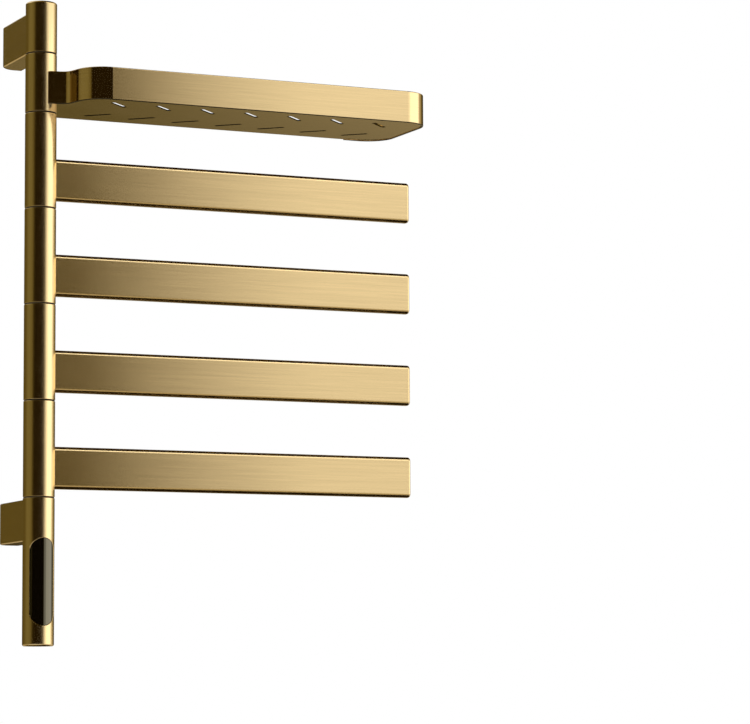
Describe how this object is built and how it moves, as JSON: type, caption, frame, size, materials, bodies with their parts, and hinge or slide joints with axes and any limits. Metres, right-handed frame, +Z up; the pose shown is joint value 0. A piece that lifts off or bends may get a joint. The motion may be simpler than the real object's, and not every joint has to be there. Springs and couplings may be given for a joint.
{
  "type": "heated towel rail",
  "caption": "Wall-held electric towel rail: a round post carries flat heated bars and a slotted shelf that swivel about it, with a touch window at its foot.",
  "frame": {"origin": "midway between the upper wall plate's two screw holes, on the wall plane", "axes": "+Z up along the post, +Y into the wall, +X along the bars away from the post at rest"},
  "size_m": [0.51, 0.191, 0.7778],
  "materials": {
    "gold_anodised": "satin gold, brushed along its length",
    "plain_steel": "zinc plated",
    "plain_aluminium": "machined",
    "black_plastic": "matt acetal",
    "circuit_board": "solder mask",
    "window_black": "polished, tinted black",
    "black_rubber": "matt",
    "silicone": "silicone rubber heating mat"
  },
  "bodies": {
    "post": {"upper_wall_plate": "plain_steel", "lower_wall_plate": "plain_steel", "upper_bracket": "gold_anodised", "lower_bracket": "gold_anodised", "bracket_bolts": "plain_steel", "bracket_grub_screws": "plain_steel", "top_section": "gold_anodised", "top_cap": "gold_anodised", "top_anchor": "plain_aluminium", "core_tube": "plain_steel", "core_nuts": "plain_steel", "bottom_anchor": "plain_aluminium", "stop_washers": "black_plastic", "base_washer": "black_plastic", "bottom_section": "gold_anodised", "bottom_cap": "gold_anodised", "display_window": "window_black", "window_gasket": "black_rubber", "board_carrier": "black_plastic", "control_board": "circuit_board", "board_screws": "plain_steel", "terminal_block": "black_plastic", "cable_grommet": "black_rubber"},
    "shelf": {"shelf_sleeve": "gold_anodised", "shelf_bushes": "black_plastic", "shelf_rim": "gold_anodised", "shelf_sheet": "gold_anodised", "shelf_root_block": "gold_anodised", "shelf_screws": "plain_steel"},
    "bar_1": {"bar_1_sleeve": "gold_anodised", "bar_1_bushes": "black_plastic", "bar_1_shell": "gold_anodised", "bar_1_root_plug": "plain_aluminium", "bar_1_heater": "silicone", "bar_1_end_cap": "gold_anodised", "bar_1_screws": "plain_steel"},
    "bar_2": {"bar_2_sleeve": "gold_anodised", "bar_2_bushes": "black_plastic", "bar_2_shell": "gold_anodised", "bar_2_root_plug": "plain_aluminium", "bar_2_heater": "silicone", "bar_2_end_cap": "gold_anodised", "bar_2_screws": "plain_steel"},
    "bar_3": {"bar_3_sleeve": "gold_anodised", "bar_3_bushes": "black_plastic", "bar_3_shell": "gold_anodised", "bar_3_root_plug": "plain_aluminium", "bar_3_heater": "silicone", "bar_3_end_cap": "gold_anodised", "bar_3_screws": "plain_steel"},
    "bar_4": {"bar_4_sleeve": "gold_anodised", "bar_4_bushes": "black_plastic", "bar_4_shell": "gold_anodised", "bar_4_root_plug": "plain_aluminium", "bar_4_heater": "silicone", "bar_4_end_cap": "gold_anodised", "bar_4_screws": "plain_steel"}
  },
  "joints": [
    {"name": "shelf_swivel", "type": "hinge", "parent": "post", "child": "shelf", "pos_m": [0, -0.116, 0], "axis": [0, 0, -1], "range_deg": [0, 180]},
    {"name": "bar_1_swivel", "type": "hinge", "parent": "post", "child": "bar_1", "pos_m": [0, -0.116, 0], "axis": [0, 0, -1], "range_deg": [0, 180]},
    {"name": "bar_2_swivel", "type": "hinge", "parent": "post", "child": "bar_2", "pos_m": [0, -0.116, 0], "axis": [0, 0, -1], "range_deg": [0, 180]},
    {"name": "bar_3_swivel", "type": "hinge", "parent": "post", "child": "bar_3", "pos_m": [0, -0.116, 0], "axis": [0, 0, -1], "range_deg": [0, 180]},
    {"name": "bar_4_swivel", "type": "hinge", "parent": "post", "child": "bar_4", "pos_m": [0, -0.116, 0], "axis": [0, 0, -1], "range_deg": [0, 180]}
  ]
}
